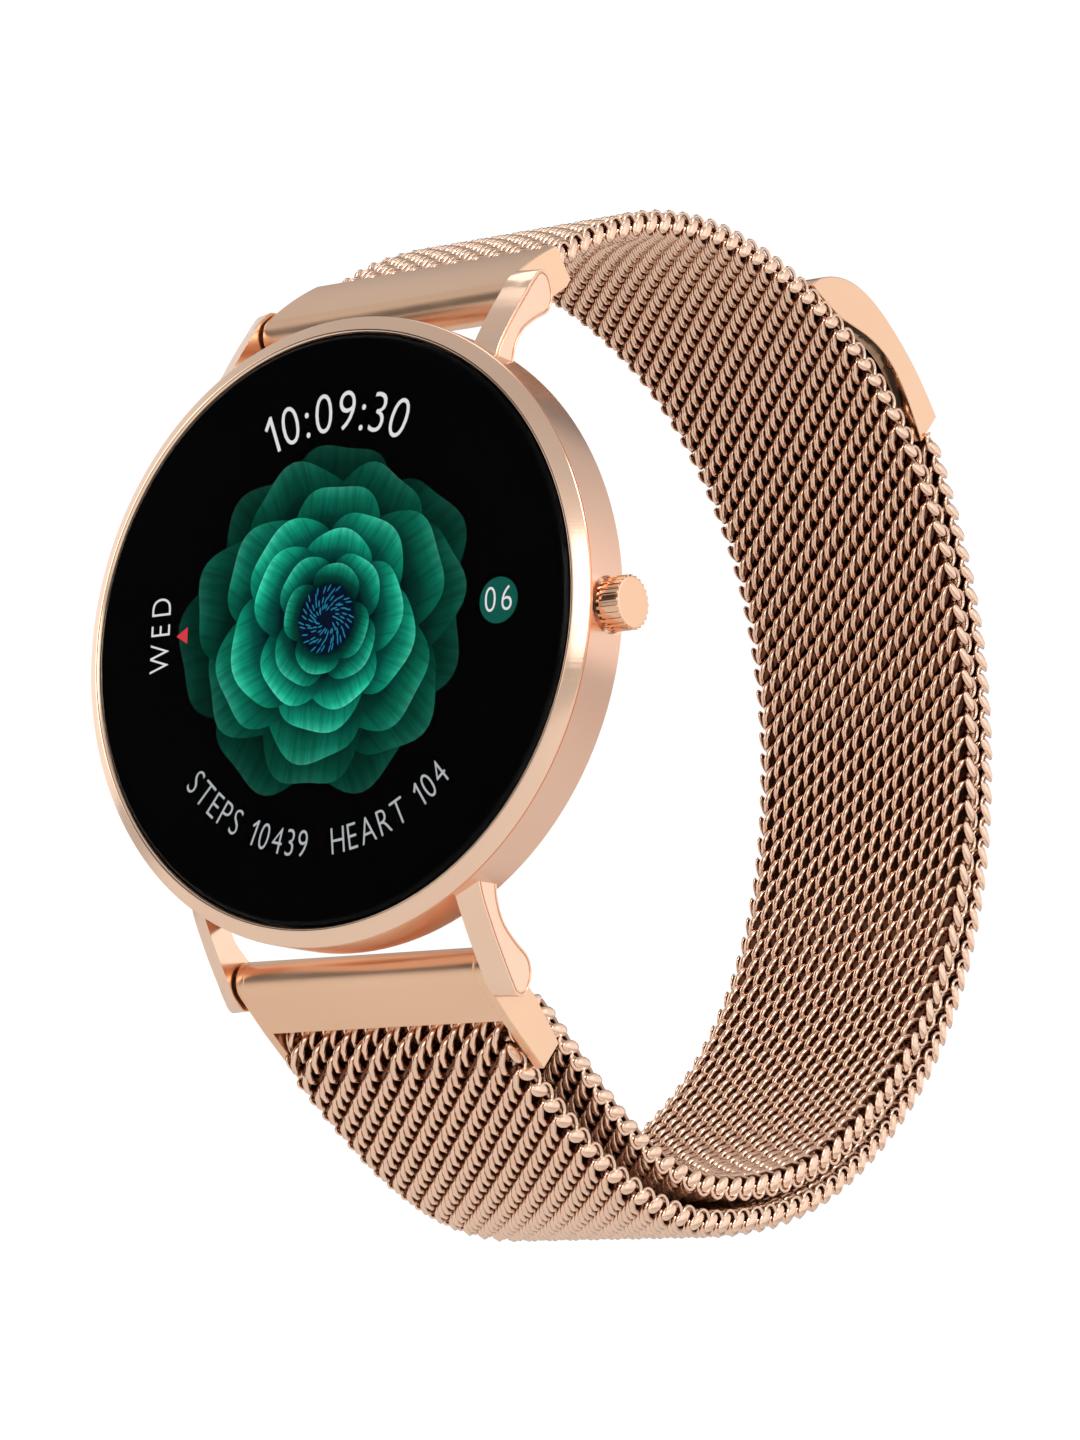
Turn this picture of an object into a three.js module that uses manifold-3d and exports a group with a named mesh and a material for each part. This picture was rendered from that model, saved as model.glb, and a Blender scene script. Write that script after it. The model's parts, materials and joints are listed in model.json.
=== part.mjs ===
// A round smartwatch with a side crown, four lugs and a woven steel loop band.
// Millimetres. X points to the crown, Y from the display to the wrist, Z to twelve o'clock.
// The origin is the centre of the flat sensor window that rests on the wrist.
import * as THREE from 'three';
import { mergeVertices } from 'three/addons/utils/BufferGeometryUtils.js';
import Module from 'manifold-3d';

const wasm = await Module();
wasm.setup();

// Driving dimensions
const caseRadius = 20.8;
const glassRadius = 19.45;
const boreRadius = 18.2;
const glassFront = -10;
const seamY = -9.2;
const wallRearY = -5.8;
const backRimY = -3.1;
const windowRadius = 11;
const roundSteps = 60;
const fit = 0.1;

const crownY = -7.25;
const crownRadius = 1.75;
const crownFace = 22.55;
const crownFoot = 20.9;
const crownRibs = 24;

const lugInner = 10.4;
const lugOuter = 12.3;
const barY = -4;
const barZ = 22;
const endHalfWidth = 10.1;
const endRadius = 1.4;
const barBore = 1;

const meshHalfWidth = 9.2;
const meshHalfThickness = 1;
const layerSpacing = 2.35;
const jointGap = 0.3;
const outerGap = 0.7;
const claspHalfWidth = 9;

// Finishes
const roseGold = { color: 0xe9b89e, roughness: 0.18, metalness: 1 };
const roseMesh = { color: 0xd9a58c, roughness: 0.3, metalness: 1 };
const steel = { color: 0xb9b9bd, roughness: 0.35, metalness: 1 };
const blackGlass = { color: 0x060607, roughness: 0.04, metalness: 0 };
const darkPolymer = { color: 0x151515, roughness: 0.5, metalness: 0 };
const rubber = { color: 0x101010, roughness: 0.8, metalness: 0 };
const board = { color: 0x0d3a22, roughness: 0.5, metalness: 0 };
const cellWrap = { color: 0x2c2f36, roughness: 0.4, metalness: 0 };
const gold = { color: 0xd8b25a, roughness: 0.25, metalness: 1 };
const greenLight = { color: 0x46d37a, roughness: 0.3, metalness: 0 };

const group = new THREE.Group();

function add(name, geometry, finish) {
  const mesh = new THREE.Mesh(geometry, new THREE.MeshStandardMaterial(finish));
  mesh.name = name;
  group.add(mesh);
}

// Turns a closed mesh the right way out if its volume comes out negative.
function outward(geometry) {
  const flat = geometry.index ? geometry.toNonIndexed() : geometry.clone();
  const p = flat.getAttribute('position').array;
  let volume = 0;
  for (let i = 0; i < p.length; i += 9) {
    volume += p[i] * (p[i + 4] * p[i + 8] - p[i + 5] * p[i + 7])
      - p[i + 1] * (p[i + 3] * p[i + 8] - p[i + 5] * p[i + 6])
      + p[i + 2] * (p[i + 3] * p[i + 7] - p[i + 4] * p[i + 6]);
  }
  flat.deleteAttribute('normal');
  flat.deleteAttribute('uv');
  const merged = mergeVertices(flat, 1e-5);
  const index = Array.from(merged.index.array);
  const kept = [];
  for (let i = 0; i < index.length; i += 3) {
    const [a, b, c] = index.slice(i, i + 3);
    if (a !== b && b !== c && a !== c) {
      kept.push(a, volume < 0 ? c : b, volume < 0 ? b : c);
    }
  }
  merged.setIndex(kept);
  return merged;
}

function toSolid(geometry) {
  const closed = outward(geometry);
  return new wasm.Manifold(new wasm.Mesh({
    numProp: 3,
    vertProperties: Float32Array.from(closed.getAttribute('position').array),
    triVerts: Uint32Array.from(closed.index.array),
  }));
}

function toGeometry(solid) {
  const mesh = solid.getMesh();
  const geometry = new THREE.BufferGeometry();
  geometry.setAttribute('position', new THREE.BufferAttribute(new Float32Array(mesh.vertProperties), 3));
  geometry.setIndex(new THREE.BufferAttribute(new Uint32Array(mesh.triVerts), 1));
  return geometry;
}

function cut(body, ...tools) {
  let solid = toSolid(body);
  for (const tool of tools) {
    solid = solid.subtract(toSolid(tool));
  }
  return toGeometry(solid);
}

function join(body, ...others) {
  let solid = toSolid(body);
  for (const other of others) {
    solid = solid.add(toSolid(other));
  }
  return toGeometry(solid);
}

// A profile of [radius, height] points turned about the Y axis; rings repeat their first point.
function turned(profile, steps = roundSteps) {
  const points = profile.map(([r, y]) => new THREE.Vector2(r, y));
  return outward(new THREE.LatheGeometry(points, steps));
}

function ring(inner, outer, low, high, steps = roundSteps) {
  return turned([[inner, low], [outer, low], [outer, high], [inner, high], [inner, low]], steps);
}

// The same, with the turning axis laid along X at a given Y and Z.
function spun(profile, y, z, steps = 20) {
  return turned(profile, steps).rotateZ(-Math.PI / 2).rotateX(0.06).translate(0, y, z);
}

function rod(radius, low, high, y, z, steps = 20) {
  return spun([[0, low], [radius, low], [radius, high], [0, high]], y, z, steps);
}

function sleeve(inner, outer, low, high, y, z, steps = 20) {
  return spun([[inner, low], [outer, low], [outer, high], [inner, high], [inner, low]], y, z, steps);
}

function stud(radius, low, high, x, z, steps = 16) {
  return turned([[0, low], [radius, low], [radius, high], [0, high]], steps).translate(x, 0, z);
}

function block(x, y, z) {
  const size = [x, y, z].map(([low, high]) => high - low);
  return new THREE.BoxGeometry(...size)
    .translate((x[0] + x[1]) / 2, (y[0] + y[1]) / 2, (z[0] + z[1]) / 2);
}

// An outline of [y, z] points carried along X.
function across(outline, low, high) {
  const shape = new THREE.Shape(outline.map(([y, z]) => new THREE.Vector2(y, z)));
  const geometry = new THREE.ExtrudeGeometry(shape, { depth: high - low, bevelEnabled: false });
  const turn = new THREE.Matrix4().set(0, 0, 1, low, 1, 0, 0, 0, 0, 1, 0, 0, 0, 0, 0, 1);
  return outward(geometry.applyMatrix4(turn));
}

function arc(y, z, radius, from, to, steps) {
  const points = [];
  for (let i = 0; i <= steps; i += 1) {
    const angle = THREE.MathUtils.degToRad(from + (to - from) * i / steps);
    points.push([y + radius * Math.cos(angle), z + radius * Math.sin(angle)]);
  }
  return points;
}

function mirrored(outline) {
  return outline.map(([y, z]) => [y, -z]);
}

// Case shell: front ring, middle wall, back cover and window, all turned about the Y axis.
function makeCase() {
  const seat = 20;
  const lip = 15.6;
  const wall = turned([
    [caseRadius, seamY + fit / 2],
    [caseRadius - 0.05, wallRearY],
    [17.8, backRimY],
    [16.9, backRimY],
    [16.9, -4.2],
    [lip, -4.2],
    [lip, -5],
    [boreRadius, -5],
    [boreRadius, -8.35],
    [seat, -8.35],
    [seat, seamY + fit / 2],
    [caseRadius, seamY + fit / 2],
  ]);
  const crownHole = rod(1.1, 15, 23, crownY, 0);
  const crownPocket = rod(crownRadius + 0.1, 20.3, 23, crownY, 0, 32);
  add('mid_case', cut(wall, crownHole, crownPocket), roseGold);

  add('bezel_ring', turned([
    [caseRadius, seamY - fit / 2],
    [caseRadius - 0.04, seamY - 0.15],
    [19.9, -9.9],
    [19.7, -9.93],
    [19.55, -9.75],
    [19.55, -8.78],
    [18.4, -8.78],
    [18.4, -8.45],
    [seat - fit, -8.45],
    [seat - fit, seamY - fit / 2],
    [caseRadius, seamY - fit / 2],
  ]), roseGold);

  add('cover_glass', turned([
    [0, glassFront],
    [glassRadius - 0.25, glassFront],
    [glassRadius, glassFront + 0.2],
    [glassRadius, -9.05],
    [0, -9.05],
  ]), blackGlass);
  add('glass_gasket', ring(18.5, 19.4, -8.98, -8.83), rubber);
  add('display_panel', turned([[0, -8.95], [18, -8.95], [18, -8.4], [0, -8.4]]), darkPolymer);
}

function makeBack() {
  const screwCircle = 14.6;
  const plate = turned([
    [16.8, -3.9],
    [16.8, -2.95],
    [12.4, -1.2],
    [windowRadius + 0.1, -1.2],
    [windowRadius + 0.1, -3.2],
    [10, -3.2],
    [10, -3.9],
    [16.8, -3.9],
  ]);
  const holes = [];
  const places = [];
  for (let i = 0; i < 4; i += 1) {
    const angle = Math.PI / 4 + i * Math.PI / 2;
    places.push([screwCircle * Math.cos(angle), screwCircle * Math.sin(angle)]);
  }
  for (const [x, z] of places) {
    holes.push(stud(0.95, -3.1, 0, x, z));
  }
  const contactZ = -13.6;
  const contactX = [-1.7, 1.7];
  for (const x of contactX) {
    holes.push(stud(0.8, -3.1, 0, x, contactZ));
  }
  add('case_back', cut(plate, ...holes), steel);
  add('back_gasket', ring(15.7, 16.7, -4.13, -3.98), rubber);
  places.forEach(([x, z], i) => {
    const head = stud(0.85, -3, -2.3, x, z);
    const slot = block([x - 0.12, x + 0.12], [-2.6, -2.2], [z - 1, z + 1]);
    add(`back_screw_${i + 1}`, cut(head, slot), steel);
  });
  contactX.forEach((x, i) => {
    add(`charge_contact_${i + 1}`, stud(0.7, -3, -1.75, x, contactZ), gold);
  });
  add('sensor_window', turned([
    [0, 0],
    [7, 0],
    [9.8, -0.45],
    [windowRadius, -1.1],
    [windowRadius, -3.1],
    [9.9, -3.1],
    [9.9, -1.3],
    [0, -1.3],
  ]), blackGlass);
}

// What fills the case, from the display down to the optical sensor.
function makeInsides() {
  const notch = block([12.8, 19], [-8.5, -6], [-2.6, 2.6]);
  add('inner_chassis', cut(turned([[0, -8.3], [17.4, -8.3], [17.4, -7.8], [0, -7.8]]), notch), darkPolymer);
  add('main_board', cut(turned([[0, -7.7], [16.6, -7.7], [16.6, -7.1], [0, -7.1]]), notch), board);
  add('battery', block([-12, 7], [-7, -4.4], [-9, 9]), cellWrap);
  add('vibration_motor', stud(2.3, -7, -4.6, 10.5, -5.6), steel);
  add('crown_switch', block([13.2, 15.1], [-7.9, -6.5], [-1, 1]), darkPolymer);
  add('sensor_board', turned([[0, -3.85], [9.6, -3.85], [9.6, -3.3], [0, -3.3]]), board);
  add('sensor_light_upper', block([-0.8, 0.8], [-3.2, -2.3], [3.4, 5]), greenLight);
  add('sensor_light_lower', block([-0.8, 0.8], [-3.2, -2.3], [-5, -3.4]), greenLight);
  add('photodiode', block([-1.4, 1.4], [-3.2, -2.4], [-1.4, 1.4]), darkPolymer);
}

// Crown: a fixed tube, a sliding collar, and the knob, stem and seal that turn in it.
function makeCrown() {
  add('crown_tube', sleeve(0.75, 1, 18.3, 20.2, crownY, 0), steel);
  const collarBody = sleeve(0.45, 0.65, 17.3, 19.4, crownY, 0);
  const collarFlange = sleeve(0.45, 0.95, 17.3, 17.7, crownY, 0);
  add('crown_collar', join(collarBody, collarFlange), steel);
  add('crown_spring', sleeve(0.5, 0.9, 15.9, 16.6, crownY, 0), steel);
  add('crown_stem', rod(0.35, 15.7, 20.85, crownY, 0), steel);
  add('crown_seal', sleeve(0.42, 0.65, 19.6, 20, crownY, 0), rubber);

  const ribDepth = 0.16;
  const outline = [];
  for (let i = 0; i < crownRibs * 2; i += 1) {
    const angle = i * Math.PI / crownRibs;
    const radius = crownRadius - (i % 2) * ribDepth;
    outline.push([crownY + radius * Math.cos(angle), radius * Math.sin(angle)]);
  }
  const knurl = across(outline, crownFoot, crownFace - 0.15);
  const cap = spun([
    [0, crownFace - 0.2],
    [crownRadius - 0.12, crownFace - 0.2],
    [crownRadius - 0.12, crownFace - 0.1],
    [crownRadius - 0.3, crownFace],
    [0, crownFace],
  ], crownY, 0, 48);
  add('crown_knob', join(knurl, cap), roseGold);
}

// One lug in side view, upper side: a narrow neck that widens to a round end at the bar.
function lugOutline() {
  const front = new THREE.SplineCurve([
    new THREE.Vector2(-9.1, 15.8),
    new THREE.Vector2(-8.9, 17.4),
    new THREE.Vector2(-7.5, 19.9),
    new THREE.Vector2(-5.5, 22.45),
  ]).getPoints(9).map((p) => [p.x, p.y]);
  const rear = new THREE.SplineCurve([
    new THREE.Vector2(-2.75, 21.2),
    new THREE.Vector2(-4.1, 20.35),
    new THREE.Vector2(-5.5, 19.2),
    new THREE.Vector2(-6.25, 17.6),
    new THREE.Vector2(-6.3, 15.8),
  ]).getPoints(10).map((p) => [p.x, p.y]);
  const end = arc(-4.2, 22.1, 1.85, 140, -20, 12);
  return [...front, ...end, ...rear];
}

function makeLugs() {
  const drum = turned([[0, -12], [caseRadius + fit, -12], [caseRadius + fit, 0], [0, 0]]);
  const rows = [['upper', lugOutline(), barZ], ['lower', mirrored(lugOutline()), -barZ]];
  for (const [row, outline, z] of rows) {
    for (const [side, low, high] of [['left', -lugOuter, -lugInner], ['right', lugInner, lugOuter]]) {
      const inset = side === 'left' ? [low + 0.7, high + 1] : [low - 1, high - 0.7];
      const hole = rod(0.5, inset[0], inset[1], barY, z);
      add(`lug_${row}_${side}`, cut(across(outline, low, high), drum, hole), roseGold);
    }
  }
}

// Two spring bars: a tube, and a sprung pin at each end that goes into a lug.
function makeSpringBars() {
  const pinLow = 8.8;
  const pinHigh = 11.3;
  for (const [row, z] of [['upper', barZ], ['lower', -barZ]]) {
    add(`${row}_bar_tube`, sleeve(0.52, 0.75, -9.9, 9.9, barY, z), steel);
    add(`${row}_pin_left`, rod(0.42, -pinHigh, -pinLow, barY, z), steel);
    add(`${row}_pin_right`, rod(0.42, pinLow, pinHigh, barY, z), steel);
  }
}

// Upper end piece: a barrel round the bar and a flat plate that the band is welded to.
function makeUpperEnd() {
  const plateAngle = 35.2;
  const outline = [
    ...arc(barY, barZ, endRadius, plateAngle + 90, plateAngle + 270, 18),
    [1.45, 24.1],
    [1.9, 24.72],
    [0.15, 26.65],
  ];
  const bore = rod(barBore, -11, 11, barY, barZ);
  add('upper_end_piece', cut(across(outline, -endHalfWidth, endHalfWidth), bore), roseGold);
}

// Lower ring, drawn along its own slope: s runs from the bar to the tip, t points outward.
const ringSlope = new THREE.Vector2(0.789, -0.615).normalize();
const foldS = 6.8;
const foldT = -0.45;
const foldRadius = 2.25;

function onRing(s, t) {
  return [barY + s * ringSlope.x + t * ringSlope.y, -barZ + s * ringSlope.y - t * ringSlope.x];
}

function makeLowerRing() {
  const cheek = 9.5;
  const tip = 8;
  const barrel = arc(0, 0, endRadius, 270, 90, 18).map(([s, t]) => onRing(s, t));
  const outline = [...barrel, onRing(3.4, 1.42), onRing(tip, 1.2), onRing(tip + 0.1, -1.2), onRing(4.2, -1.7)];
  const body = across(outline, -endHalfWidth, endHalfWidth);
  const below = [onRing(1.75, -3), onRing(10, -3), onRing(10, 0.65), onRing(1.75, 0.65)];
  const beyond = [onRing(3.45, 0.5), onRing(10, 0.5), onRing(10, 3), onRing(3.45, 3)];
  const open = cut(body, across(below, -cheek, cheek), across(beyond, -cheek, cheek),
    rod(barBore, -11, 11, barY, -barZ));
  const crossbar = rod(0.95, -cheek - 0.3, cheek + 0.3, ...onRing(foldS, foldT));
  add('lower_ring', join(open, crossbar), roseGold);
}

// The band's inner layer, from the upper end piece round the wrist to the lower ring.
const innerRun = new THREE.CatmullRomCurve3([
  [1.25, 25.9], [5.4, 28.5], [12, 31.2], [19, 32.4], [26, 32], [32.5, 30.5], [39, 27.7], [44.6, 23.6],
  [49.9, 17.5], [53.4, 10], [54.9, 1.5], [54.4, -7], [51.8, -15], [47.2, -22], [41, -27.6],
  [34.5, -31.3], [27.5, -33.2], [21.5, -33.5], [16.5, -32.4], [11.6, -30], [7.2, -27],
  onRing(foldS, foldT - foldRadius),
].map(([y, z]) => new THREE.Vector3(y, z, 0)), false, 'centripetal');
const runLength = innerRun.getLength();

// Distance between the layers: wide where the band folds round the ring, close elsewhere.
function spacing(length) {
  const fromRing = THREE.MathUtils.clamp((runLength - length) / 28, 0, 1);
  const ease = fromRing * fromRing * (3 - 2 * fromRing);
  return THREE.MathUtils.lerp(foldRadius * 2, layerSpacing, ease);
}

function onRun(length, offset) {
  const u = THREE.MathUtils.clamp(length / runLength, 0, 1);
  const point = innerRun.getPointAt(u);
  const tangent = innerRun.getTangentAt(u);
  return [point.x - tangent.y * offset, point.y + tangent.x * offset];
}

function layer(from, to, middle) {
  const steps = Math.max(3, Math.round((to - from) / 1.6));
  const lengths = Array.from({ length: steps + 1 }, (_, i) => from + (to - from) * i / steps);
  const outside = lengths.map((l) => onRun(l, middle(l) + meshHalfThickness));
  const inside = lengths.map((l) => onRun(l, middle(l) - meshHalfThickness)).reverse();
  return across([...outside, ...inside], -meshHalfWidth, meshHalfWidth);
}

// Stations along the inner run, in millimetres, where the band may bend.
const topStations = [0, 16, 32.5];
const backStations = [32.5, 48.5, 65];
const lowStations = [65, 80, 95, 110, runLength];
const tailStations = [65, 60, 54.8, 49.5];

function makeBand() {
  const innerStations = [...topStations, ...backStations.slice(1), ...lowStations.slice(1)];
  for (let i = 0; i + 1 < innerStations.length; i += 1) {
    const from = innerStations[i] + jointGap / 2;
    const to = innerStations[i + 1] - jointGap / 2;
    add(`mesh_inner_${i + 1}`, layer(from, to, () => 0), roseMesh);
  }
  for (let i = 0; i + 1 < lowStations.length; i += 1) {
    const from = lowStations[i] + outerGap / 2;
    const to = lowStations[i + 1] - (i + 2 < lowStations.length ? outerGap : jointGap) / 2;
    add(`mesh_outer_${i + 1}`, layer(from, to, spacing), roseMesh);
  }
  for (let i = 0; i + 1 < tailStations.length; i += 1) {
    const from = tailStations[i + 1] + outerGap / 2;
    const to = tailStations[i] - outerGap / 2;
    add(`mesh_tail_${i + 1}`, layer(from, to, tailOffset), roseMesh);
  }
}

// The tail lifts a little towards the clasp, which is thicker than the band.
function tailOffset(length) {
  const lift = THREE.MathUtils.clamp((58 - length) / 8.5, 0, 1);
  return layerSpacing + 0.75 * lift * lift;
}

function makeFold() {
  const centre = onRing(foldS, foldT);
  const start = THREE.MathUtils.radToDeg(Math.atan2(ringSlope.y, ringSlope.x)) + 90;
  const outside = arc(...centre, foldRadius + meshHalfThickness, start + 5, start + 175, 18);
  const inside = arc(...centre, foldRadius - meshHalfThickness, start + 175, start + 5, 12);
  add('mesh_fold', across([...outside, ...inside], -meshHalfWidth, meshHalfWidth), roseMesh);
}

// Clasp: a curved plate with a thin finger edge, hollow underneath for its magnet and pad.
// Each point is a station along the inner run and a height above its middle.
function makeClasp() {
  const shape = (points, half) => across(points.map(([l, h]) => onRun(l, h)), -half, half);
  const top = [[32.6, 1.4], [33.4, 1.85], [35.3, 2.8], [36.9, 3.8], [38.9, 4.6], [42, 4.6], [45.5, 4.7], [48.9, 5]];
  const bottom = [[49.15, 2], [45.5, 2.05], [42, 2.1], [40, 2], [38.5, 1.75], [36.5, 1.4], [34, 1.35]];
  const pocket = [[37.6, 3.2], [42, 3.3], [47.4, 3.3], [47.4, 1], [42, 1], [37.6, 1]];
  add('clasp_plate', cut(shape([...top, ...bottom], claspHalfWidth), shape(pocket, 7.8)), roseGold);
  const magnet = [[38.1, 3], [42, 3.1], [46.9, 3.1], [46.9, 2.1], [42, 2.1], [38.1, 2.1]];
  add('clasp_magnet', shape(magnet, 7.4), steel);
  const pad = [[38.3, 2], [42, 2], [46.7, 2], [46.7, 1.3], [42, 1.3], [38.3, 1.3]];
  add('clasp_pad', shape(pad, 7.4), rubber);
}

makeCase();
makeBack();
makeInsides();
makeCrown();
makeLugs();
makeSpringBars();
makeUpperEnd();
makeLowerRing();
makeBand();
makeFold();
makeClasp();

export default group;
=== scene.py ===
import json
import math
import random

import bpy
from mathutils import Matrix, Vector


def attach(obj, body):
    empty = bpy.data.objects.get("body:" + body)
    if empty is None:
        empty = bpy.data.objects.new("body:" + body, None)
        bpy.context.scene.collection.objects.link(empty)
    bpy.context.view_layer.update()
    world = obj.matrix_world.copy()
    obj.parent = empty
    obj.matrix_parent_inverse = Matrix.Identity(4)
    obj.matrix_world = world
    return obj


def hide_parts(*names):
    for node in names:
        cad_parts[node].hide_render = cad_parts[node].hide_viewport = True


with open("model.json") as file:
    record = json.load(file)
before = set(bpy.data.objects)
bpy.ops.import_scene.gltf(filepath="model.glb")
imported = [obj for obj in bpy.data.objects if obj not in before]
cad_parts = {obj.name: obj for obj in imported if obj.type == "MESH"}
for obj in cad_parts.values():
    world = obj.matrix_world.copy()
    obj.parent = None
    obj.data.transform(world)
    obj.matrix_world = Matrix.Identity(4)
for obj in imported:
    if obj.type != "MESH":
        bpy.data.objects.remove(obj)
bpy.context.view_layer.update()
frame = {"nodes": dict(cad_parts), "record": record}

mm = 0.001
random.seed(7)
bodyOf = {node: body for body, members in frame["record"]["behaviour"]["bodies"].items()
          for node in members}


def nothingPicked():
    if bpy.context.object and bpy.context.object.mode != "OBJECT":
        bpy.ops.object.mode_set(mode="OBJECT")
    bpy.ops.object.select_all(action="DESELECT")


def pick(piece):
    nothingPicked()
    piece.select_set(True)
    bpy.context.view_layer.objects.active = piece


def settle(piece):
    pick(piece)
    bpy.ops.object.transform_apply(location=True, rotation=True, scale=True)


def joined(parts):
    nothingPicked()
    for part in parts:
        part.select_set(True)
    bpy.context.view_layer.objects.active = parts[0]
    bpy.ops.object.join()
    return bpy.context.object


def twinOf(piece, place):
    twin = piece.copy()
    twin.data = piece.data.copy()
    twin.data.transform(place)
    bpy.context.scene.collection.objects.link(twin)
    return twin


def throwAway(*pieces):
    for piece in pieces:
        bpy.data.meshes.remove(piece.data)


def useModifier(piece, kind, **settings):
    pick(piece)
    modifier = piece.modifiers.new(kind.lower(), kind)
    for name, value in settings.items():
        setattr(modifier, name, value)
    bpy.ops.object.modifier_apply(modifier=modifier.name)


def cleanSkin(piece, gap=1e-7):
    pick(piece)
    bpy.ops.object.mode_set(mode="EDIT")
    bpy.ops.mesh.select_all(action="SELECT")
    bpy.ops.mesh.remove_doubles(threshold=gap)
    bpy.ops.mesh.normals_make_consistent(inside=False)
    bpy.ops.object.mode_set(mode="OBJECT")


def softEdges(piece, width, segments=3, angle=28):
    useModifier(piece, "BEVEL", width=width * mm, segments=segments, limit_method="ANGLE",
                angle_limit=math.radians(angle), miter_outer="MITER_ARC")
    pick(piece)
    bpy.ops.object.shade_smooth_by_angle(angle=math.radians(38))
    useModifier(piece, "WEIGHTED_NORMAL", keep_sharp=True, weight=50)


# turned on the Y axis: steps are radius and depth in millimetres
def turned(name, steps, sides=144, capFirst=False, capLast=False):
    nothingPicked()
    radius, depth = steps[0]
    bpy.ops.mesh.primitive_circle_add(vertices=sides, radius=radius * mm, location=(0, depth * mm, 0),
                                      rotation=(math.pi / 2, 0, 0),
                                      fill_type="TRIFAN" if capFirst else "NOTHING")
    piece = bpy.context.object
    piece.name = name
    settle(piece)
    bpy.ops.object.mode_set(mode="EDIT")
    bpy.ops.mesh.select_all(action="SELECT")
    if capFirst:
        bpy.ops.mesh.region_to_loop()
    for (lastRadius, lastDepth), (newRadius, newDepth) in zip(steps, steps[1:]):
        bpy.ops.mesh.extrude_edges_move(
            TRANSFORM_OT_translate={"value": (0, (newDepth - lastDepth) * mm, 0)})
        share = newRadius / lastRadius
        bpy.ops.transform.resize(value=(share, 1, share), center_override=(0, newDepth * mm, 0))
    if capLast:
        bpy.ops.mesh.extrude_edges_move(TRANSFORM_OT_translate={"value": (0, 0, 0)})
        bpy.ops.mesh.merge(type="CENTER")
    bpy.ops.object.mode_set(mode="OBJECT")
    cleanSkin(piece)
    return piece


# cut to an outline of (y, z) and pulled along X. A rim leaves a narrow step round the outer face
def plate(name, outline, low, high, rim=0, rise=0):
    nothingPicked()
    bpy.ops.mesh.primitive_circle_add(vertices=len(outline), radius=mm, fill_type="NGON")
    piece = bpy.context.object
    piece.name = name
    for corner, (y, z) in zip(piece.data.vertices, outline):
        corner.co = (low * mm, y * mm, z * mm)
    bpy.ops.object.mode_set(mode="EDIT")
    bpy.ops.mesh.select_all(action="SELECT")
    bpy.ops.mesh.extrude_region_move(TRANSFORM_OT_translate={"value": ((high - low) * mm, 0, 0)})
    if rim:
        bpy.ops.mesh.inset(thickness=rim * mm)
        bpy.ops.mesh.extrude_region_move(TRANSFORM_OT_translate={"value": (-rise * mm, 0, 0)})
        bpy.ops.mesh.inset(thickness=rim * 0.7 * mm)
        bpy.ops.mesh.extrude_region_move(TRANSFORM_OT_translate={"value": (rise * mm, 0, 0)})
    bpy.ops.object.mode_set(mode="OBJECT")
    cleanSkin(piece)
    return piece


def rodAlongX(name, radius, low, high, y, z, sides=48):
    nothingPicked()
    bpy.ops.mesh.primitive_cylinder_add(vertices=sides, radius=radius * mm, depth=(high - low) * mm,
                                        location=((low + high) / 2 * mm, y * mm, z * mm),
                                        rotation=(0, math.pi / 2, 0))
    piece = bpy.context.object
    piece.name = name
    settle(piece)
    return piece


def cutAway(piece, cutter):
    useModifier(piece, "BOOLEAN", operation="DIFFERENCE", object=cutter, solver="EXACT")
    throwAway(cutter)


def dressed(piece, name, material, slot, body, *nodes):
    piece.name = name
    piece.data.name = name
    piece.data.materials.clear()
    piece.data.materials.append(material)
    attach(piece, body)
    if nodes:
        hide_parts(*nodes)
    return piece


def arcPoints(centreY, centreZ, radius, start, end, count):
    turns = [math.radians(start + (end - start) * i / count) for i in range(count + 1)]
    return [(centreY + radius * math.cos(t), centreZ + radius * math.sin(t)) for t in turns]


# a rounded line through the points, as the CAD curves are: centripetal, passing through each one
def smoothLine(points, perSpan):
    ends = [tuple(2 * a - b for a, b in zip(points[0], points[1])),
            tuple(2 * a - b for a, b in zip(points[-1], points[-2]))]
    knots = [ends[0], *points, ends[1]]
    line = []
    for i in range(len(points) - 1):
        p = [Vector(k) for k in knots[i:i + 4]]
        d = [math.sqrt((p[j + 1] - p[j]).length) for j in range(3)]
        into = ((p[1] - p[0]) / d[0] - (p[2] - p[0]) / (d[0] + d[1]) + (p[2] - p[1]) / d[1]) * d[1]
        out = ((p[2] - p[1]) / d[1] - (p[3] - p[1]) / (d[1] + d[2]) + (p[3] - p[2]) / d[2]) * d[1]
        for step in range(perSpan):
            t = step / perSpan
            line.append(p[1] + into * t + (-3 * p[1] + 3 * p[2] - 2 * into - out) * t * t
                        + (2 * p[1] - 2 * p[2] + into + out) * t ** 3)
    line.append(Vector(points[-1]))
    return line


# the camera stands this far from its aim point, turned round Z and raised by these degrees
cameraSet = {"aim": (-0.00414, 0.01913, -0.00102), "away": 0.33385, "turn": 36.801, "raise": -10.149,
             "roll": 1.774, "lens": 119.14, "sensor": 36, "near": 0.01, "far": 20}


def setCamera():
    data = bpy.data.cameras.new("studioCamera")
    data.lens = cameraSet["lens"]
    data.sensor_width = cameraSet["sensor"]
    data.clip_start = cameraSet["near"]
    data.clip_end = cameraSet["far"]
    camera = bpy.data.objects.new("studioCamera", data)
    bpy.context.scene.collection.objects.link(camera)
    turn, rise = math.radians(cameraSet["turn"]), math.radians(cameraSet["raise"])
    back = Vector((math.sin(turn) * math.cos(rise), -math.cos(turn) * math.cos(rise), math.sin(rise)))
    place = Vector(cameraSet["aim"]) + back * cameraSet["away"]
    facing = back.to_track_quat("Z", "Y").to_matrix().to_4x4()
    roll = Matrix.Rotation(math.radians(cameraSet["roll"]), 4, "Z")
    camera.matrix_world = Matrix.Translation(place) @ facing @ roll
    bpy.context.scene.camera = camera


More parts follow.
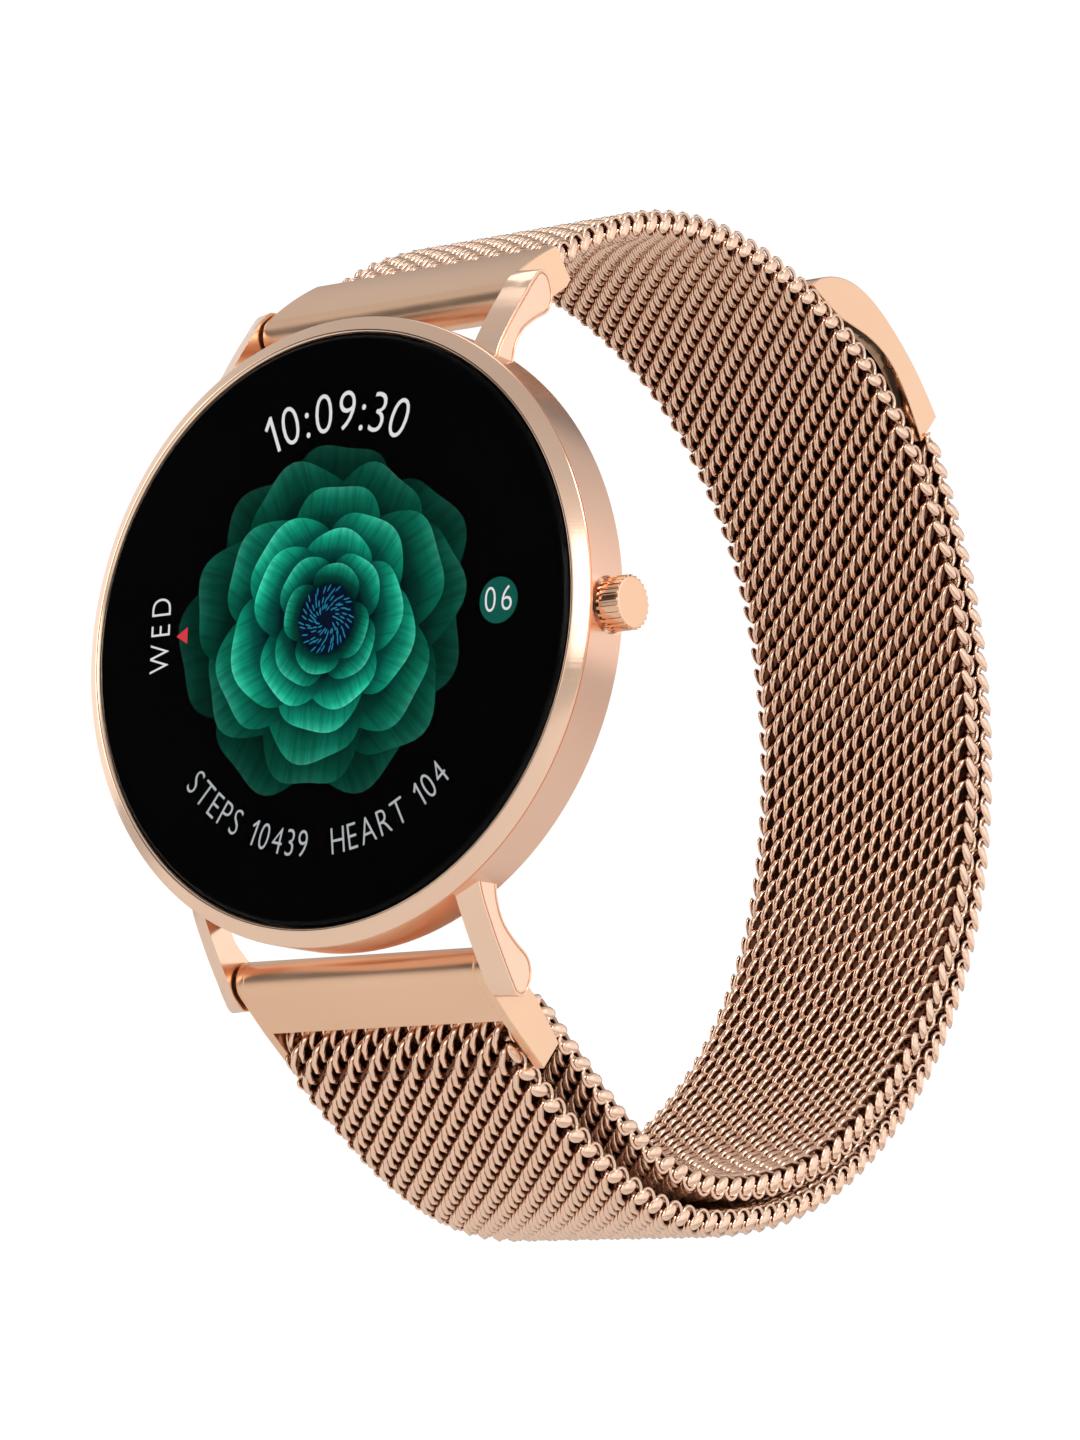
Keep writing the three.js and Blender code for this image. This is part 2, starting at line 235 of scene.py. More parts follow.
studio = {"floorHeight": -0.14, "floorSize": 6.0, "backdrop": (1.0, 1.0, 1.0),
          "cards": [("keyCard", (0.45, -0.62, 0.16), 0.34, 0.75, (1.0, 0.97, 0.93)),
                    ("highCard", (0.50, -0.10, 0.45), 0.22, 1.1, (1.0, 0.97, 0.93)),
                    ("sideCard", (0.66, 0.52, 0.26), 0.34, 0.13, (1.0, 0.98, 0.95)),
                    ("topCard", (-0.10, 0.05, 0.75), 0.36, 0.45, (1.0, 0.99, 0.97)),
                    ("leftCard", (-0.60, -0.20, 0.20), 0.40, 0.6, (1.0, 0.98, 0.96))],
          # towards, where the shade starts, where it is full, how dark
          "flags": [((-0.59, -0.79, 0.18), 0.84, 0.96, 0.05), ((0.59, -0.79, -0.18), 0.90, 0.975, 0.12),
                    ((-0.34, 0.79, 0.51), 0.90, 0.97, 0.30)],
          # height on the sky, grey there
          "sky": [(0.0, 0.60), (0.40, 0.72), (0.50, 1.0), (0.62, 1.0), (0.72, 0.82), (0.80, 0.60),
                  (0.90, 0.52), (1.0, 0.55)],
          "warmth": (1.0, 0.985, 0.965), "backdropPower": 1.05}


def mapRange(nodes, links, value, start, end, low=0.0, high=1.0):
    spread = nodes.new("ShaderNodeMapRange")
    for label, limit in (("From Min", start), ("From Max", end), ("To Min", low), ("To Max", high)):
        spread.inputs[label].default_value = limit
    links.new(value, spread.inputs["Value"])
    return spread


def colourRamp(nodes, links, value, stops):
    ramp = nodes.new("ShaderNodeValToRGB")
    while len(ramp.color_ramp.elements) < len(stops):
        ramp.color_ramp.elements.new(0.5)
    for element, (place, paint) in zip(ramp.color_ramp.elements, stops):
        element.position = place
        element.color = (*paint, 1)
    links.new(value, ramp.inputs[0])
    return ramp


def setStudio():
    for name, place, size, power, colour in studio["cards"]:
        light = bpy.data.lights.new(name, "AREA")
        light.size = size
        light.energy = power
        light.color = colour
        card = bpy.data.objects.new(name, light)
        bpy.context.scene.collection.objects.link(card)
        card.location = place
        card.rotation_euler = (-Vector(place)).to_track_quat("-Z", "Y").to_euler()
    nothingPicked()
    bpy.ops.mesh.primitive_plane_add(size=studio["floorSize"], location=(0, 0, studio["floorHeight"]))
    floor = bpy.context.object
    floor.name = "studioFloor"
    settle(floor)
    floor.data.materials.append(floorPaint())


def setWorld():
    world = bpy.data.worlds.new("softStudio")
    bpy.context.scene.world = world
    world.use_nodes = True
    nodes, links = world.node_tree.nodes, world.node_tree.links
    nodes.clear()
    where = nodes.new("ShaderNodeTexCoord")
    parts = nodes.new("ShaderNodeSeparateXYZ")
    links.new(where.outputs["Generated"], parts.inputs[0])
    tall = mapRange(nodes, links, parts.outputs["Z"], -1, 1)
    stops = [(place, [grey * tint for tint in studio["warmth"]]) for place, grey in studio["sky"]]
    ramp = colourRamp(nodes, links, tall.outputs[0], stops)
    shaded = ramp.outputs["Color"]
    for towards, start, full, level in studio["flags"]:
        flag = nodes.new("ShaderNodeVectorMath")
        flag.operation = "DOT_PRODUCT"
        flag.inputs[1].default_value = towards
        links.new(where.outputs["Generated"], flag.inputs[0])
        edge = mapRange(nodes, links, flag.outputs["Value"], start, full, 1.0, level)
        edge.interpolation_type = "SMOOTHSTEP"
        shade = nodes.new("ShaderNodeVectorMath")
        shade.operation = "SCALE"
        links.new(shaded, shade.inputs[0])
        links.new(edge.outputs[0], shade.inputs["Scale"])
        shaded = shade.outputs[0]
    lit = nodes.new("ShaderNodeBackground")
    links.new(shaded, lit.inputs["Color"])
    seen = nodes.new("ShaderNodeBackground")
    seen.inputs["Color"].default_value = (*studio["backdrop"], 1)
    seen.inputs["Strength"].default_value = studio["backdropPower"]
    ray = nodes.new("ShaderNodeLightPath")
    mix = nodes.new("ShaderNodeMixShader")
    links.new(ray.outputs["Is Camera Ray"], mix.inputs[0])
    links.new(lit.outputs[0], mix.inputs[1])
    links.new(seen.outputs[0], mix.inputs[2])
    out = nodes.new("ShaderNodeOutputWorld")
    links.new(mix.outputs[0], out.inputs["Surface"])


bpy.context.scene.view_settings.view_transform = "Standard"


def newGroup(name, entries, exits):
    tree = bpy.data.node_groups.new(name, "ShaderNodeTree")
    for label, kind, start in entries:
        socket = tree.interface.new_socket(name=label, in_out="INPUT", socket_type=kind)
        socket.default_value = start
    for label, kind in exits:
        tree.interface.new_socket(name=label, in_out="OUTPUT", socket_type=kind)
    return tree, tree.nodes.new("NodeGroupInput"), tree.nodes.new("NodeGroupOutput")


number, colour, vector = "NodeSocketFloat", "NodeSocketColor", "NodeSocketVector"


# faint cloudy smudges and fine hairlines over a hard finish
def handledGroup():
    tree, entry, leave = newGroup(
        "handledFinish",
        [("Clean", colour, (1, 1, 1, 1)), ("Worn", colour, (0.8, 0.8, 0.8, 1)), ("Gloss", number, 0.15),
         ("Cloud", number, 0.05), ("Size", number, 60.0), ("Stretch", vector, (1, 1, 30))],
        [("Colour", colour), ("Roughness", number), ("Height", number)])
    nodes, links = tree.nodes, tree.links
    where = nodes.new("ShaderNodeTexCoord")
    cloud = nodes.new("ShaderNodeTexNoise")
    cloud.inputs["Detail"].default_value = 4
    links.new(where.outputs["Object"], cloud.inputs["Vector"])
    links.new(entry.outputs["Size"], cloud.inputs["Scale"])
    mapping = nodes.new("ShaderNodeMapping")
    links.new(where.outputs["Object"], mapping.inputs["Vector"])
    links.new(entry.outputs["Stretch"], mapping.inputs["Scale"])
    hair = nodes.new("ShaderNodeTexNoise")
    hair.inputs["Scale"].default_value = 220
    hair.inputs["Detail"].default_value = 3
    links.new(mapping.outputs[0], hair.inputs["Vector"])
    narrow = mapRange(nodes, links, hair.outputs["Fac"], 0.35, 0.65)
    tone = nodes.new("ShaderNodeMix")
    tone.data_type = "RGBA"
    spread = mapRange(nodes, links, cloud.outputs["Fac"], 0.40, 0.75)
    links.new(spread.outputs[0], tone.inputs["Factor"])
    links.new(entry.outputs["Clean"], tone.inputs["A"])
    links.new(entry.outputs["Worn"], tone.inputs["B"])
    links.new(tone.outputs["Result"], leave.inputs["Colour"])
    both = nodes.new("ShaderNodeMath")
    both.operation = "ADD"
    links.new(spread.outputs[0], both.inputs[0])
    links.new(narrow.outputs[0], both.inputs[1])
    rough = nodes.new("ShaderNodeMath")
    rough.operation = "MULTIPLY_ADD"
    links.new(both.outputs[0], rough.inputs[0])
    links.new(entry.outputs["Cloud"], rough.inputs[1])
    links.new(entry.outputs["Gloss"], rough.inputs[2])
    links.new(rough.outputs[0], leave.inputs["Roughness"])
    links.new(narrow.outputs[0], leave.inputs["Height"])
    return tree


handled = handledGroup()


def plainMaterial(name):
    material = bpy.data.materials.new(name)
    material.use_nodes = True
    shader = material.node_tree.nodes["Principled BSDF"]
    return material, material.node_tree.nodes, material.node_tree.links, shader


# the shared finish with its own values, and its roughness and relief on the shader
def wearOn(nodes, links, shader, relief, **values):
    wear = nodes.new("ShaderNodeGroup")
    wear.node_tree = handled
    for label, value in values.items():
        wear.inputs[label].default_value = value
    links.new(wear.outputs["Roughness"], shader.inputs["Roughness"])
    bump = nodes.new("ShaderNodeBump")
    bump.inputs["Strength"].default_value = relief
    bump.inputs["Distance"].default_value = 0.00002
    links.new(wear.outputs["Height"], bump.inputs["Height"])
    links.new(bump.outputs[0], shader.inputs["Normal"])
    return wear


def handledMaterial(look):
    material, nodes, links, shader = plainMaterial(look["name"])
    wear = wearOn(nodes, links, shader, look.get("bump", 0.03), Clean=(*look["clean"], 1),
                  Worn=(*look["worn"], 1), Gloss=look["gloss"], Cloud=look["cloud"], Size=60,
                  Stretch=look.get("stretch", (1, 1, 30)))
    links.new(wear.outputs["Colour"], shader.inputs["Base Color"])
    shader.inputs["Metallic"].default_value = look.get("metal", 0.0)
    shader.inputs["Specular IOR Level"].default_value = look.get("specular", 0.5)
    if "coat" in look:
        shader.inputs["Coat Weight"].default_value = look["coat"]
    return material


finishes = {
    "rose_gold": {"name": "polishedRose", "clean": (0.97, 0.64, 0.44), "worn": (0.94, 0.59, 0.395),
                  "gloss": 0.12, "cloud": 0.025, "metal": 1.0, "bump": 0.02},
    # rose gold painted lighter than the rest: a painted highlight for the bezel and the lug horns
    "paintedHighlightRose": {"name": "paintedHighlightRose", "clean": (0.98, 0.70, 0.53), "worn": (0.95, 0.655, 0.49),
                 "gloss": 0.13, "cloud": 0.025, "metal": 1.0, "bump": 0.02},
    "satinRose": {"name": "satinRose", "clean": (0.96, 0.63, 0.475), "worn": (0.93, 0.59, 0.44),
                  "gloss": 0.20, "cloud": 0.03, "metal": 1.0, "bump": 0.015, "stretch": (2, 12, 2)},
    "brushedRose": {"name": "brushedRose", "clean": (0.97, 0.64, 0.435), "worn": (0.93, 0.59, 0.395),
                    "gloss": 0.29, "cloud": 0.03, "metal": 1.0, "bump": 0.03, "stretch": (2, 14, 14)},
    "steel": {"name": "brushedSteel", "clean": (0.62, 0.61, 0.60), "worn": (0.50, 0.49, 0.48),
              "gloss": 0.26, "cloud": 0.08, "metal": 1.0, "bump": 0.08, "stretch": (30, 1, 1)},
    "rubber": {"name": "blackRubber", "clean": (0.018, 0.018, 0.019), "worn": (0.035, 0.034, 0.033),
               "gloss": 0.62, "cloud": 0.08, "bump": 0.2, "stretch": (3, 3, 3)},
    "polymer": {"name": "darkPolymer", "clean": (0.022, 0.022, 0.024), "worn": (0.032, 0.032, 0.034),
                "gloss": 0.34, "cloud": 0.06, "bump": 0.08, "stretch": (4, 4, 4)},
    "board": {"name": "circuitGreen", "clean": (0.012, 0.09, 0.045), "worn": (0.010, 0.06, 0.032),
              "gloss": 0.32, "cloud": 0.08, "bump": 0.1, "stretch": (6, 1, 6)},
    "cell_wrap": {"name": "cellFoil", "clean": (0.30, 0.32, 0.34), "worn": (0.22, 0.23, 0.25),
                  "gloss": 0.36, "cloud": 0.08, "metal": 0.6, "bump": 0.15, "stretch": (1, 6, 1)},
    "contact_gold": {"name": "contactGold", "clean": (0.95, 0.68, 0.28), "worn": (0.80, 0.54, 0.20),
                     "gloss": 0.18, "cloud": 0.06, "metal": 1.0, "bump": 0.05},
    "sensor_light": {"name": "sensorLamp", "clean": (0.35, 0.75, 0.38), "worn": (0.22, 0.55, 0.26),
                     "gloss": 0.25, "cloud": 0.05, "coat": 0.4},
    "display": {"name": "blankPanel", "clean": (0.001, 0.001, 0.0012), "worn": (0.0015, 0.0015, 0.002),
                "gloss": 0.30, "cloud": 0.04, "specular": 0.02},
}
material = {slot: handledMaterial(look) for slot, look in finishes.items()}

# the wire's own colour, and the colour of the painted shade inside the coils
wireLook = {"bright": (1.0, 0.69, 0.52), "shadeTone": (0.17, 0.065, 0.035), "gloss": 0.10}


# rose wire: its own colour where it stands proud, with painted shade darkening it towards the inside of each
# coil
def wireMaterial():
    made, nodes, links, shader = plainMaterial("roseWire")
    wear = wearOn(nodes, links, shader, 0.05, Clean=(*wireLook["bright"], 1),
                  Worn=(*[c * 0.93 for c in wireLook["bright"]], 1), Gloss=wireLook["gloss"],
                  Cloud=0.05, Size=900)
    inner = nodes.new("ShaderNodeAttribute")
    inner.attribute_name = "coilShade"
    tone = nodes.new("ShaderNodeMix")
    tone.data_type = "RGBA"
    links.new(inner.outputs["Fac"], tone.inputs["Factor"])
    links.new(wear.outputs["Colour"], tone.inputs["A"])
    tone.inputs["B"].default_value = (*wireLook["shadeTone"], 1)
    links.new(tone.outputs["Result"], shader.inputs["Base Color"])
    shader.inputs["Metallic"].default_value = 1.0
    return made


material["rose_mesh"] = wireMaterial()


def glassMaterial():
    made, nodes, links, shader = plainMaterial("clearCover")
    shader.inputs["Transmission Weight"].default_value = 1.0
    shader.inputs["IOR"].default_value = 1.16
    where = nodes.new("ShaderNodeTexCoord")
    smear = nodes.new("ShaderNodeTexNoise")
    smear.inputs["Scale"].default_value = 90
    smear.inputs["Detail"].default_value = 5
    links.new(where.outputs["Object"], smear.inputs["Vector"])
    spread = mapRange(nodes, links, smear.outputs["Fac"], 0.45, 0.8, 0.015, 0.045)
    links.new(spread.outputs[0], shader.inputs["Roughness"])
    return made


material["cover_glass"] = glassMaterial()


def floorPaint():
    made, nodes, links, shader = plainMaterial("paleFloor")
    where = nodes.new("ShaderNodeTexCoord")
    grain = nodes.new("ShaderNodeTexNoise")
    grain.inputs["Scale"].default_value = 12
    links.new(where.outputs["Object"], grain.inputs["Vector"])
    tone = nodes.new("ShaderNodeMix")
    tone.data_type = "RGBA"
    tone.inputs["A"].default_value = (0.86, 0.855, 0.845, 1)
    tone.inputs["B"].default_value = (0.90, 0.895, 0.89, 1)
    links.new(grain.outputs["Fac"], tone.inputs["Factor"])
    links.new(tone.outputs["Result"], shader.inputs["Base Color"])
    shader.inputs["Roughness"].default_value = 0.7
    return made


for name, node in frame["nodes"].items():
    slotName = node.material_slots[0].material.name.split(".")[0]
    for holder in node.material_slots:
        holder.material = material[slotName]
setCamera()
setWorld()
setStudio()
print("camera, studio and finishes ready")


case = {"midWall": [(20.8, -9.15), (20.8, -8.0), (20.75, -5.8), (17.8, -3.1), (16.9, -3.1), (16.9, -4.2),
                    (15.6, -4.2), (15.6, -5.0), (18.2, -5.0), (18.2, -8.35), (20.0, -8.35), (20.0, -9.15),
                    (20.8, -9.15)],
        "bezel": [(20.8, -9.25), (20.76, -9.35), (19.9, -9.9), (19.7, -9.93), (19.55, -9.75), (19.55, -8.78),
                  (18.4, -8.78), (18.4, -8.45), (19.9, -8.45), (20.8, -9.25)],
        "seal": [(20.62, -9.25), (20.62, -9.15), (20.1, -9.15), (20.1, -9.25), (20.62, -9.25)],
        "glass": [(19.2, -10.0), (19.42, -9.86), (19.42, -9.80)],
        "panel": [(19.45, -9.70), (19.45, -8.9), (18.0, -8.85), (18.0, -8.4)],
        "crownY": -7.25, "crownPocket": 1.85, "pocketFloor": 20.3, "crownBore": 1.1, "boreFloor": 14,
        "cutEnd": 24, "edge": 0.05, "glassEdge": 0.03}


def makeCase():
    wall = turned("midCase", case["midWall"])
    pocket = rodAlongX("pocketCut", case["crownPocket"], case["pocketFloor"], case["cutEnd"],
                       case["crownY"], 0, 64)
    cutAway(wall, pocket)
    bore = rodAlongX("boreCut", case["crownBore"], case["boreFloor"], case["cutEnd"], case["crownY"], 0)
    cutAway(wall, bore)
    softEdges(wall, case["edge"])
    dressed(wall, "mid_case_shell", material["satinRose"], "rose_gold", bodyOf["mid_case"], "mid_case")
    ring = turned("bezelRing", case["bezel"])
    softEdges(ring, case["edge"])
    dressed(ring, "bezel_polished", material["paintedHighlightRose"], "rose_gold", bodyOf["bezel_ring"], "bezel_ring")
    # a black rubber ring in the gap between bezel and case, put there as painted shade to darken the seam
    seal = turned("bezelSeal", case["seal"], 96)
    dressed(seal, "bezel_seal", material["rubber"], "rubber", bodyOf["bezel_ring"])
    glass = turned("coverGlass", case["glass"], capFirst=True, capLast=True)
    softEdges(glass, case["glassEdge"])
    dressed(glass, "cover_glass_disc", material["cover_glass"], "cover_glass",
            bodyOf["cover_glass"], "cover_glass")
    panel = turned("displayPanel", case["panel"], capFirst=True, capLast=True)
    dressed(panel, "display_stack", material["display"], "display", bodyOf["display_panel"],
            "display_panel")


back = {"window": [(7.0, 0.0), (9.8, -0.45), (11.0, -1.1), (11.0, -2.2)], "edge": 0.06}


def makeBack():
    window = turned("sensorWindow", back["window"], capFirst=True, capLast=True)
    softEdges(window, back["edge"])
    dressed(window, "sensor_window_dome", material["polymer"], "polymer",
            bodyOf["sensor_window"], "sensor_window")


makeCase()
makeBack()
print("case done")


lug = {"inner": 10.4, "outer": 11.9, "perSpan": 5, "rim": 0.15, "rise": 0.14, "edge": 0.1,
       # how far the outer face falls back, the least distance from the inner face for that, and the
       # outline point where it stops and how many points it takes to get there
       "fallAway": 0.75, "fallFrom": 0.3, "fallEnd": 7, "fallSpan": 3,
       "outline": [(-9.1, 15.8), (-8.9, 17.4), (-7.5, 19.9), (-5.9, 22.2), (-5.15, 23.2), (-4.3, 23.8),
                   (-3.3, 23.72), (-2.55, 23.05), (-2.35, 22.1), (-2.75, 21.2), (-4.1, 20.35), (-5.5, 19.2),
                   (-6.25, 17.6), (-6.3, 15.8)]}


def makeLugs():
    outline = smoothLine(lug["outline"], lug["perSpan"])
    for level, up in (("upper", 1), ("lower", -1)):
        for side, out in (("left", -1), ("right", 1)):
            piece = plate("lug", outline, lug["inner"], lug["outer"], lug["rim"], lug["rise"])
            for corner in piece.data.vertices:
                if corner.co.x > (lug["inner"] + lug["fallFrom"]) * mm:
                    gaps = [(Vector((corner.co.y, corner.co.z)) / mm - spot).length for spot in outline]
                    knot = gaps.index(min(gaps)) / lug["perSpan"]
                    share = min(max((lug["fallEnd"] - knot) / lug["fallSpan"], 0), 1)
                    corner.co.y += lug["fallAway"] * share * mm
            piece.data.transform(Matrix.Diagonal((out, 1, up, 1)))
            cleanSkin(piece)
            softEdges(piece, lug["edge"], 3, 50)
            node = f"lug_{level}_{side}"
            dressed(piece, f"{node}_horn", material["paintedHighlightRose"], "rose_gold", bodyOf[node], node)


crown = {"y": -7.25, "radius": 1.75, "face": 22.55, "foot": 20.9, "ribs": 24, "facets": 4, "raised": 2,
         "ribInset": 0.02, "ribRise": 0.12, "cap": 0.16, "edge": 0.035}


def makeCrown():
    sides = crown["ribs"] * crown["facets"]
    low, high = crown["foot"], crown["face"]
    piece = rodAlongX("crownKnob", crown["radius"] - crown["ribRise"], low, high, crown["y"], 0, sides)
    middle = Vector((0, crown["y"] * mm, 0))
    pick(piece)
    bpy.ops.object.mode_set(mode="EDIT")
    bpy.ops.mesh.select_all(action="DESELECT")
    bpy.ops.mesh.select_mode(type="FACE")
    bpy.ops.object.mode_set(mode="OBJECT")
    for face in piece.data.polygons:
        out = face.center - middle
        turn = math.degrees(math.atan2(out.z, out.y)) % 360
        facet = int(turn / (360 / sides)) % crown["facets"]
        face.select = len(face.vertices) == 4 and facet < crown["raised"]
    bpy.ops.object.mode_set(mode="EDIT")
    bpy.ops.mesh.inset(thickness=crown["ribInset"] * mm, use_individual=False)
    bpy.ops.mesh.extrude_region_shrink_fatten(
        TRANSFORM_OT_shrink_fatten={"value": crown["ribRise"] * mm})
    bpy.ops.object.mode_set(mode="OBJECT")
    for face in piece.data.polygons:
        face.select = len(face.vertices) > 4
    bpy.ops.object.mode_set(mode="EDIT")
    bpy.ops.mesh.inset(thickness=crown["cap"] * mm)
    bpy.ops.object.mode_set(mode="OBJECT")
    softEdges(piece, crown["edge"], 2, 30)
    dressed(piece, "crown_knob_fluted", material["rose_gold"], "rose_gold", bodyOf["crown_knob"],
            "crown_knob")


makeLugs()
makeCrown()
print("lugs and crown done")


bandEnd = {"barY": -4.0, "barZ": 22.0, "radius": 1.4, "bore": 1.0, "cutHalf": 11, "half": 10.2,
           "cheek": 9.5, "plateLap": 0.02, "crossbarLap": 0.2, "crossbar": 0.95, "edge": 0.07,
           "bow": 0.16, "slabTop": [(0.15, 26.65), (1.9, 24.72), (1.45, 24.1)],
           "cheekTip": [(3.4, 1.42), (8, 1.2), (8.1, -1.2), (4.2, -1.7)],
           "plateFoot": [(3.4, 1.42), (3.45, 0.7), (1.75, 0.65), (1.55, 0.3), (1.3, -0.55)]}
slope = Vector((0.789, -0.615)).normalized()
fold = {"s": 6.8, "t": -0.45, "radius": 2.25}


def onRing(s, t):
    return (bandEnd["barY"] + s * slope.x + t * slope.y, -bandEnd["barZ"] + s * slope.y - t * slope.x)


# points between two corners on a faint outward curve, both ends left out
def bowed(start, end, rise):
    start, end = Vector(start), Vector(end)
    out = Vector((end.y - start.y, start.x - end.x)).normalized()
    shares = [i / 10 for i in range(1, 10)]
    return [tuple(start.lerp(end, share) + out * rise * 4 * share * (1 - share)) for share in shares]


def barBore(z):
    return rodAlongX("boreCut", bandEnd["bore"], -bandEnd["cutHalf"], bandEnd["cutHalf"], bandEnd["barY"], z)


def makeUpperEnd():
    barY, barZ, radius = bandEnd["barY"], bandEnd["barZ"], bandEnd["radius"]
    far, near = bandEnd["slabTop"][0], bandEnd["slabTop"][-1]

    def touch(point, side):
        gap = Vector(point) - Vector((barY, barZ))
        return math.degrees(math.atan2(gap.y, gap.x)) + side * math.degrees(math.acos(radius / gap.length))

    first, last = touch(far, 1), touch(near, -1)
    outline = arcPoints(barY, barZ, radius, first, last + 360 if last < first else last, 28)
    start = Vector(outline[0])
    outline += [near, *reversed(bandEnd["slabTop"][:-1])]
    outline += bowed(far, start, bandEnd["bow"])
    piece = plate("upperEnd", outline, -bandEnd["half"], bandEnd["half"])
    cutAway(piece, barBore(barZ))
    softEdges(piece, bandEnd["edge"], 3, 30)
    dressed(piece, "upper_end_sleeve", material["brushedRose"], "rose_gold",
            bodyOf["upper_end_piece"], "upper_end_piece")


def makeLowerRing():
    half, cheek = bandEnd["half"], bandEnd["cheek"]
    barrel = arcPoints(0, 0, bandEnd["radius"], 270, 90, 24)
    side = [onRing(*point) for point in [*barrel, *bandEnd["cheekTip"]]]
    front = [onRing(*point) for point in [*barrel, *bandEnd["plateFoot"]]]
    parts = [plate("cheek", side, low, high) for low, high in ((-half, -cheek), (cheek, half))]
    reach = cheek + bandEnd["plateLap"]
    parts.append(plate("frontPlate", front, -reach, reach))
    reach = cheek + bandEnd["crossbarLap"]
    parts.append(rodAlongX("crossbar", bandEnd["crossbar"], -reach, reach, *onRing(fold["s"], fold["t"])))
    for part in parts[:3]:
        cutAway(part, barBore(-bandEnd["barZ"]))
        softEdges(part, bandEnd["edge"], 3, 30)
    pick(parts[3])
    bpy.ops.object.shade_smooth_by_angle(angle=math.radians(38))
    piece = joined(parts)
    dressed(piece, "lower_ring_slider", material["brushedRose"], "rose_gold", bodyOf["lower_ring"],
            "lower_ring")


makeUpperEnd()
makeLowerRing()
print("band ends done")


run = {"points": [(1.25, 25.9), (5.4, 28.5), (12, 31.2), (19, 32.4), (26, 32), (32.5, 30.5), (39, 27.7),
                  (44.6, 23.6), (49.9, 17.5), (53.4, 10), (54.9, 1.5), (54.4, -7), (51.8, -15), (47.2, -22),
                  (41, -27.6), (34.5, -31.3), (27.5, -33.2), (21.5, -33.5), (16.5, -32.4), (11.6, -30),
                  (7.2, -27), onRing(fold["s"], fold["t"] - fold["radius"])],
       "layerSpacing": 2.35, "tailStart": 65.0, "tailEnd": 49.7, "walk": 0.02,
       # where the tail starts to lift, over what length and how far, and the length the fold eases over
       "liftStart": 58, "liftSpan": 8.5, "lift": 0.75, "easeSpan": 28}
line = smoothLine(run["points"], 60)
marks = [0.0]
for here, there in zip(line, line[1:]):
    marks.append(marks[-1] + (there - here).length)
runLength = marks[-1]


def runAt(length):
    low, high = 0, len(marks) - 1
    while high - low > 1:
        middle = (low + high) // 2
        if marks[middle] <= length:
            low = middle
        else:
            high = middle
    share = (length - marks[low]) / (marks[high] - marks[low])
    before = line[max(low - 1, 0)]
    after = line[min(high + 1, len(line) - 1)]
    return line[low].lerp(line[high], share), (after - before).normalized()


def onRun(length, height):
    point, along = runAt(min(max(length, 0), runLength))
    return (point.x - along.y * height, point.y + along.x * height)


def layerHeight(length):
    if length < run["tailStart"]:
        lift = min(max((run["liftStart"] - length) / run["liftSpan"], 0), 1)
        return run["layerSpacing"] + run["lift"] * lift * lift
    share = min(max((runLength - length) / run["easeSpan"], 0), 1)
    ease = share * share * (3 - 2 * share)
    return 2 * fold["radius"] * (1 - ease) + run["layerSpacing"] * ease


weave = {"pitch": 0.825, "turn": 1.78, "turns": 10, "radius": 0.785, "wide": 0.235, "thick": 0.23,
         "long": 1.2, "sides": 8, "steps": 9, "coreHalf": 8.8, "coreThick": 0.12, "coreLap": 1.12,
         "brightOver": 0.13, "beadForward": 0.4, "hookOut": 0.03, "hookRaise": 0.14,
         "beadAcross": 0.17, "beadAlong": 0.96, "beadDeep": 0.46, "beadLean": 38, "beadAt": 9.2,
         "hookRadius": 0.74, "hookWire": 0.13, "hookOn": 0.62}
stations = {"mesh_inner": [0, 16, 32.5, 48.5, 65, 80, 95, 110, 200], "mesh_outer": [65, 80, 95, 110, 200],
            "mesh_tail": [65, 60, 54.8, 49]}


def coilRow():
    nothingPicked()
    bpy.ops.mesh.primitive_circle_add(vertices=weave["sides"], radius=mm)
    row = bpy.context.object
    row.name = "coilRow"
    row.scale = (weave["wide"], weave["thick"], 1)
    row.location = (-weave["turn"] * weave["turns"] / 2 * mm, weave["radius"] * mm, 0)
    settle(row)
    useModifier(row, "SCREW", axis="X", screw_offset=-weave["turn"] * mm,
                angle=2 * math.pi, iterations=weave["turns"], steps=weave["steps"],
                render_steps=weave["steps"], use_smooth_shade=True)
    row.data.transform(Matrix.Translation((weave["turn"] * weave["turns"] * mm, 0, 0)))
    pick(row)
    bpy.ops.object.mode_set(mode="EDIT")
    bpy.ops.mesh.select_all(action="SELECT")
    bpy.ops.mesh.fill_holes(sides=weave["sides"])
    bpy.ops.mesh.normals_make_consistent(inside=False)
    bpy.ops.object.mode_set(mode="OBJECT")
    # a flat backing sheet through the middle of the row: it fills the see-through gaps and takes the full
    # painted shade colour
    bpy.ops.mesh.primitive_cube_add(
        size=mm, scale=(2 * weave["coreHalf"], weave["pitch"] * weave["coreLap"], weave["coreThick"]))
    core = bpy.context.object
    settle(core)
    row = joined([row, core])
    # painted shade: none on the outer part of each wire, rising to full towards the coil's axis and on the
    # backing sheet
    coilShade = row.data.attributes.new("coilShade", "FLOAT", "POINT")
    for i, corner in enumerate(row.data.vertices):
        short = weave["radius"] + weave["brightOver"] - math.hypot(corner.co.y, corner.co.z) / mm
        coilShade.data[i].value = min(max(short / weave["thick"], 0), 1)
    row.data.transform(Matrix.Diagonal((1, weave["long"], 1, 1)))
    return row


